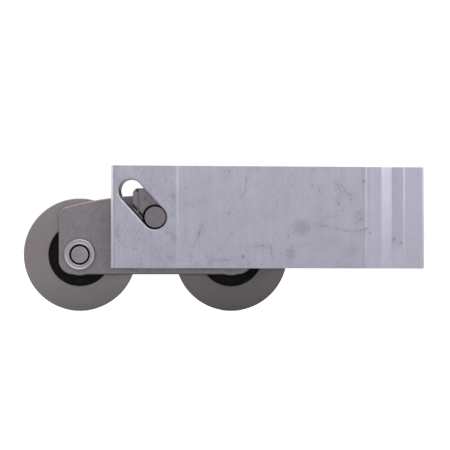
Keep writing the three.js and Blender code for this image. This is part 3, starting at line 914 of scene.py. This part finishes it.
def race_points(side, shoulder):
    """The ball groove, from low w to high w. Side is 1 for the outer race and -1 for the inner."""
    reach = asin(sqrt(GROOVE_R**2 - (shoulder - PITCH_R) ** 2) / GROOVE_R)
    angles = [-reach + 2 * reach * i / 12 for i in range(13)]
    return [(PITCH_R + side * GROOVE_R * cos(a), GROOVE_R * sin(a)) for a in angles]


def wheel(label, material):
    node = f"{label}_wheel"
    centre, size = middle(node)
    radius, half = size.x / 2, size.y / 2
    seat, shoulder, seat_floor = 10.7, 9.7, 2.8
    side = [
        (shoulder, seat_floor, 0.1),
        (seat - 0.15, seat_floor, 0.1),
        (seat, half, 0.18),
        (radius - 1.25, half, 0.25),
        (radius - 1.05, half - 0.05, 0.12),
        (radius - 0.82, half - 0.01, 0.12),
        (radius - 0.12, half - 0.03, 0.1),
        (radius, half - 0.3, 0.15),
        (radius, half - 1.3, 0.35),
    ]
    top = rounded([(shoulder, 1.2), *side, (radius - 1.15, 1.2)], 5, False)[1:-1]
    tread = [(radius - 1.6 * (1 - (t / 8) ** 2), (half - 1.6) * t / 8) for t in range(7, -8, -1)]
    bm = lathe_mesh(race_points(1, shoulder) + top + tread + flipped(top), 144)
    made = finish_mesh(f"{label}_tread_wheel", bm, centre, Y_AXIS)
    return dress(made, material, "wheel_steel", f"{label}_wheel", node)


def seal(label, face, side, material):
    """A moulded ring with a raised lip round its bore and a shallow dish between."""
    node = f"{label}_seal_{face}"
    centre, size = middle(node)
    outer, half = size.x / 2, size.y / 2
    bore = 7.1
    corners = [
        (bore, -half, 0.1),
        (outer, -half, 0.1),
        (outer, half, 0.15),
        (outer - 0.7, half, 0.15),
        (outer - 0.9, half - 0.2, 0.15),
        (8.3, half - 0.28, 0.3),
        (7.9, half, 0.2),
        (bore, half - 0.1, 0.15),
    ]
    bm = lathe_mesh([(r, -side * w) for r, w in rounded(corners, 4)], 96)
    made = finish_mesh(f"{label}_{face}_rubber_seal", bm, centre, Y_AXIS)
    return dress(made, material, "seal_rubber", f"{label}_wheel", node)


def inner_ring(label, material):
    node = f"{label}_bearing_inner_ring"
    centre, size = middle(node)
    outer, half = size.x / 2, size.y / 2
    groove = race_points(-1, outer)
    bore = SLEEVE_R + 0.12
    top = rounded([(outer, 1.0), (outer, half, 0.3), (bore, half, 0.25), (bore, 0)], 4, False)[1:-1]
    bm = lathe_mesh(groove + top + flipped(top), 72)
    made = finish_mesh(f"{label}_inner_race", bm, centre, Y_AXIS)
    return dress(made, material, "bearing_steel", "carriage", node)


def ball(label, number, material):
    node = f"{label}_ball_{number}"
    centre, _ = middle(node)
    bm = bmesh.new()
    bmesh.ops.create_icosphere(bm, subdivisions=3, radius=BALL_R * 0.995)
    made = finish_mesh(f"{label}_bearing_ball_{number}", bm, centre, sharp=60)
    return dress(made, material, "bearing_steel", f"{label}_balls", node)


def cage(label, material):
    """A crown cage: a thin ring on one side of the balls, with a cupped pocket round each."""
    node = f"{label}_ball_cage"
    inner, outer, front, back, edge = 7.3, 9.3, -0.7, 2.65, 0.15
    corners = [(inner, front, edge), (outer, front, edge), (outer, back, edge), (inner, back, edge)]
    bm = lathe_mesh(rounded(corners, 3), 84)
    hub, _ = middle(f"{label}_wheel")
    made = finish_mesh(f"{label}_crown_cage", bm, hub, Y_AXIS)
    cutters = []
    for number in BALLS:
        pocket = bmesh.new()
        bmesh.ops.create_icosphere(pocket, subdivisions=3, radius=BALL_R + 0.1)
        cutters.append(finish_mesh("pocket_cutter", pocket, middle(f"{label}_ball_{number}")[0]))
    cut(made, cutters, 30)
    return dress(made, material, "cage_nylon", f"{label}_balls", node)


# ---- pivot, links, nut and screw ----
LINK_HOLE = (-0.16, 0.1)  # the pin pulls to one side of it


def pivot_pin(material):
    half = PIN_SIZE.y / 2
    top = rounded([(0, half), (PIN_R, half, 0.04), (PIN_R, 0)], 4, False)
    bm = lathe_mesh(top + flipped(top[:-1]), 64)
    made = finish_mesh("cross_pin", bm, PIN, Y_AXIS)
    return dress(made, material, "turned_steel", "pivot", "pivot_pin")


def ring_piece(name, node, inner, edge, material, slot, body, axes=Y_AXIS):
    """A washer or a bush: a tube with rounded edges."""
    centre, size = middle(node)
    outer = max(size) / 2 if axes is X_AXIS else size.x / 2
    half = (size.x if axes is X_AXIS else size.y) / 2
    corners = [(inner, -half, edge), (outer, -half, edge), (outer, half, edge), (inner, half, edge)]
    made = finish_mesh(name, lathe_mesh(rounded(corners, 4), 56), centre, axes)
    return dress(made, material, slot, body, node)


def link(label, material):
    node = f"pull_link_{label}"
    centre, size = middle(node)
    low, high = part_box(node)
    left, bottom = from_pin(low)
    right, top = from_pin(high)
    strip = SCREW_Z - (top - SCREW_Z)
    corners = [(left, bottom, 2), (9, bottom, 6), (20, strip, 8)]
    corners += [(right, strip, 5), (right, top, 5), (left, top, 2)]
    holes = [round_hole(*LINK_HOLE, PIN_R + 0.28), round_hole(right - 5.5, SCREW_Z, 3.45)]
    bm = prism_mesh(rounded(corners, 10), holes, -size.y / 2, size.y / 2, 0.35)
    made = finish_mesh(f"link_plate_{label}", bm, Vector((PIN.x, centre.y, PIN.z)), Y_AXIS)
    return dress(made, material, "stamping", "links", node)


THREAD_PITCH = 1.27
THREAD_DEPTH = 0.55
RUN_IN = 0.8
RUN_OUT = 1.2
SCREW_STEPS = 32


def turned(profile):
    """Rings round w from (radius, w) points."""
    angles = [2 * pi * k / SCREW_STEPS for k in range(SCREW_STEPS)]
    return [[(r * cos(a), r * sin(a), w) for a in angles] for r, w in profile]


def threaded(x0, x1, major, per_pitch=10):
    """Rings along w of a single-start thread that fades out at both ends."""
    rings = []
    count = int((x1 - x0) / THREAD_PITCH * per_pitch)
    for i in range(count + 1):
        w = x0 + (x1 - x0) * i / count
        fade = min(1.0, (w - x0) / RUN_IN, (x1 - w) / RUN_OUT)
        ring = []
        for k in range(SCREW_STEPS):
            a = 2 * pi * k / SCREW_STEPS
            phase = (w / THREAD_PITCH + k / SCREW_STEPS) % 1.0
            # A flat crest, two flanks and a flat root.
            flank = min(1.0, max(0.0, abs(phase - 0.5) * 2.6 - 0.15))
            radius = major - THREAD_DEPTH * flank * max(0.0, fade)
            ring.append((radius * cos(a), radius * sin(a), w))
        rings.append(ring)
    return rings


def screw(material):
    low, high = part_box("adjusting_screw")
    centre = Vector((PIN.x, (low.y + high.y) / 2, (low.z + high.z) / 2))
    tip, end = from_pin(low)[0], from_pin(high)[0]
    head_r, shank, neck = (high.z - low.z) / MM / 2, 2.9, 2.35
    under = end - 3.6
    clip = WEB[0] - 0.95
    rest = [(shank, clip - 0.7), (shank, clip - 0.08), (neck, clip), (neck, clip + 0.85)]
    rest += [(shank, clip + 0.93), (shank, under - 0.1), (shank + 0.1, under)]
    head = [(shank + 0.1, under), (head_r, under, 0.2), (head_r, end - 1.5, 0.5)]
    head += [(head_r - 1.9, end, 1.2), (1.0, end)]
    rest += rounded(head, 6, False)[1:]
    rings = [[(0, 0, tip)]]
    rings += turned([(shank - 1.0, tip), (shank - 0.6, tip + 0.15)])
    rings += threaded(tip + 0.5, clip - 1.0, shank)
    rings += turned(rest)
    rings += [[(0, 0, end)]]
    bm = bmesh.new()
    add_rings(bm, rings)
    made = finish_mesh("set_screw", bm, centre, X_AXIS, 35)
    # The cross recess: two wedges, each given as half of its width and length at the floor.
    cutters = []
    for x, y in ((1.15 / 2.6, 4.9 / 2.8), (4.9 / 2.6, 1.15 / 2.8)):
        corners = [(-x, -y), (x, -y), (x, y), (-x, y)]
        wedge = bmesh.new()
        levels = ((1.0, end - 2.0), (1.3, end + 0.5))
        rings = [[(u * grow, v * grow, w) for u, v in corners] for grow, w in levels]
        for ring in add_rings(wedge, rings):
            wedge.faces.new(ring)
        cutters.append(finish_mesh("recess_cutter", wedge, centre, X_AXIS))
    cut(made, cutters, 35)
    return dress(made, material, "zinc_plate", "screw", "adjusting_screw")


def barrel_nut(material):
    centre, size = middle("barrel_nut")
    end, radius, journal, shoulder = size.y / 2, size.x / 2, 3.2, 7.6
    corners = [(0, end), (journal, end, 0.3), (journal, shoulder, 0.1)]
    corners += [(radius, shoulder, 0.3), (radius, 0)]
    top = rounded(corners, 4, False)
    made = finish_mesh("cross_nut", lathe_mesh(top + flipped(top[:-1]), 56), centre, Y_AXIS)
    bore, flare = 3.1, 4.2
    tap = [(0, -9), (flare, -9), (bore, -4.2), (bore, 4.2), (flare, 9), (0, 9)]
    cut(made, [finish_mesh("tap_cutter", lathe_mesh(tap, 40), centre, X_AXIS)], 35)
    return dress(made, material, "zinc_plate", "nut", "barrel_nut")


def retaining_ring(material):
    """A C ring with two rounded tips, open at the bottom."""
    node = "screw_retaining_ring"
    centre, size = middle(node)
    outer, inner = size.y / 2, 2.42
    axis = Vector((centre.x, 0, PIN.z + SCREW_Z * MM))
    gap = 42
    outside = arc(0, 0, outer, gap - 180, 180 - gap, 40)
    inside = arc(0, 0, inner, 180 - gap, gap - 180, 30)
    outline = [(y, x) for x, y in outside + inside]
    bm = prism_mesh(outline, [], -size.x / 2, size.x / 2, 0.12)
    made = finish_mesh("snap_ring", bm, axis, X_AXIS)
    return dress(made, material, "turned_steel", "screw", node)


# ---- build ----
ALUMINIUM = aluminium()
# The plates carry a faint painted highlight on their edges and painted shade from the housing and
# the collars.
STAMPING = steel(
    "stamped_steel", 0.40, STEEL_TINT, 0.42, (3.0, 3.0, 0.6), 0.17, edge_highlight_amount=0.08, plate_shade=True
)
LINK_STEEL = link_steel()
# The washers and the pin carry painted shade round the pin.
SHADED_ZINC = steel("zinc_plate_painted_shade", 0.6, ZINC_TINT, 0.34, (2.0, 2.0, 2.0), pin_shade=(4.4, 4.9))
PIN_STEEL = steel("pin_steel", 0.33, STEEL_TINT, 0.38, (1.6, 1.6, 1.6), 0.22, pin_shade=(3.54, 3.5))
ZINC = steel("zinc_plated_steel", 0.6, ZINC_TINT, 0.32, (2.0, 2.0, 2.0))
POLISHED = steel("ground_steel", 0.7, GROUND_TINT, 0.16, (3.0, 3.0, 3.0), 0.03)
RUBBER = rubber()
NYLON = nylon()
WHEEL_LEVELS = {"left": 0.47, "right": 0.35}  # the right wheel is given the darker tone

housing(ALUMINIUM)
pivot_pin(PIN_STEEL)
ring_piece("spacer_bush", "pivot_bush", PIN_R + CLEARANCE, 0.3, ZINC, "zinc_plate", "carriage")
for label, _ in SIDES:
    carriage_plate(label, STAMPING)
    link(label, LINK_STEEL)
    names = f"thrust_washer_{label}", f"pivot_washer_{label}"
    ring_piece(*names, PIN_R - GRIP, 0.2, SHADED_ZINC, "zinc_plate", "pivot")
for label in ENDS:
    hub, _ = middle(f"{label}_wheel")
    tread = (f"{label}_wheel_steel", hub, WHEEL_LEVELS[label], WARM_TINT, 0.42)
    # The wheels get painted shade low on their faces, the collars painted shade in their bores and
    # the axles painted shade round their ends.
    wheel(label, turned_steel(*tread, stretch=0.8, low_shade=0.28))
    collar = (f"{label}_collar_steel", hub, 0.68, STEEL_TINT, 0.3)
    hub_sleeve(label, turned_steel(*collar, stretch=0.0, bore=3.36))
    axle = (f"{label}_axle_steel", hub, 0.5, WARM_TINT, 0.38)
    axle_pin(label, turned_steel(*axle, mottling=0.3, stretch=0.0, rim=2.84))
    inner_ring(label, POLISHED)
    cage(label, NYLON)
    for face, side in SIDES:
        seal(label, face, side, RUBBER)
    for number in BALLS:
        ball(label, number, POLISHED)
screw(ZINC)
barrel_nut(ZINC)
retaining_ring(PIN_STEEL)
ring_piece("head_washer", "screw_washer", 3.1, 0.15, ZINC, "zinc_plate", "screw", X_AXIS)


# ---- camera, light and floor ----
CAMERA_DISTANCE = 1.45  # from the housing's front face
CAMERA_RIGHT = 23.55 * MM  # of the pivot pin
CAMERA_BELOW = 2.67 * MM  # below the pivot pin
SENSOR = 36.0
VIEW_WIDTH = 151.55  # millimetres across the view, at the housing's front face
FRONT_LEVEL = 0.495
SIDE_LEVELS = (0.49, 1.24)  # left and right
BACK_GAIN = 0.5
TOP_GAIN = -0.12


def add_camera():
    data = bpy.data.cameras.new("camera")
    data.sensor_width = SENSOR
    data.lens = SENSOR * CAMERA_DISTANCE / (VIEW_WIDTH * MM)
    data.clip_start = 0.05
    data.clip_end = 20
    made = add_object("camera", data)
    made.location = (PIN.x + CAMERA_RIGHT, HOUSING_LOW.y - CAMERA_DISTANCE, PIN.z - CAMERA_BELOW)
    made.rotation_euler = (pi / 2, 0, 0)
    bpy.context.scene.camera = made


def area_light(name, place, size, power):
    data = bpy.data.lights.new(name, "AREA")
    data.shape = "RECTANGLE"
    data.size, data.size_y = size
    data.energy = power
    made = add_object(name, data)
    made.location = place
    towards = Vector((0, 0, 0.03)) - Vector(place)
    made.rotation_euler = towards.to_track_quat("-Z", "Y").to_euler()


def studio():
    """A soft tent: dim in front, brighter towards the right and behind, and white to the camera. It
    is dimmer again straight above, at the far right and straight behind."""
    g = Nodes(world=True)
    parts = g.parts_of(g.node("ShaderNodeTexCoord").outputs["Generated"])
    x, y, z = parts["X"], parts["Y"], parts["Z"]
    front = g.ramp(g.product(y, -1.0), 0.5, 0.97)
    around = g.math("SUBTRACT", 1.0, front)
    sides = g.ramp(x, -0.8, 0.8, *SIDE_LEVELS)
    far_right = g.ramp(x, 0.85, 1.0, 1.0, 0.6)
    level = g.math(
        "ADD",
        g.product(sides, far_right, around),
        g.product(front, FRONT_LEVEL),
        g.ramp(y, -0.35, 0.25, 0.0, BACK_GAIN),
        g.ramp(z, 0.7, 0.95, 0.0, TOP_GAIN),
    )
    level = g.product(level, g.ramp(y, 0.6, 0.97, 1.0, 0.45))
    lighting = g.node("ShaderNodeBackground", {"Color": WHITE, "Strength": level}).outputs[0]
    backdrop = g.node("ShaderNodeBackground", {"Color": WHITE, "Strength": 1.05}).outputs[0]
    seen = g.node("ShaderNodeLightPath").outputs["Is Camera Ray"]
    mixed = g.node("ShaderNodeMixShader", {0: seen, 1: lighting, 2: backdrop}).outputs[0]
    g.node("ShaderNodeOutputWorld", {"Surface": mixed})
    area_light("overhead", (0.05, -0.1, 0.9), (1.3, 1.0), 1.3)
    area_light("rim", (0.3, 0.8, 0.6), (0.8, 0.4), 0.7)


def floor():
    """A pale floor that the camera sees as nearly white."""
    m = Nodes("pale_floor")
    grain = m.noise(m.stretched(0.02, 0.02, 0.02), detail=2.0)
    colour = m.mix(m.ramp(grain, *NOISE_BAND), (0.44, 0.44, 0.44, 1), (0.47, 0.47, 0.47, 1))
    seen = m.node("ShaderNodeLightPath").outputs["Is Camera Ray"]
    glow = m.product(seen, 0.85)
    m.set(Base_Color=colour, Roughness=0.9, Emission_Color=WHITE, Emission_Strength=glow)
    bm = bmesh.new()
    half = 3.0
    corners = [(-half, -half, 0), (half, -half, 0), (half, half, 0), (-half, half, 0)]
    bm.faces.new([bm.verts.new(c) for c in corners])
    mesh = bpy.data.meshes.new("floor")
    bm.to_mesh(mesh)
    bm.free()
    mesh.materials.append(m.material)
    made = add_object("floor", mesh)


add_camera()
studio()
floor()
bpy.context.scene.view_settings.view_transform = "Standard"
bpy.context.scene.view_settings.look = "None"
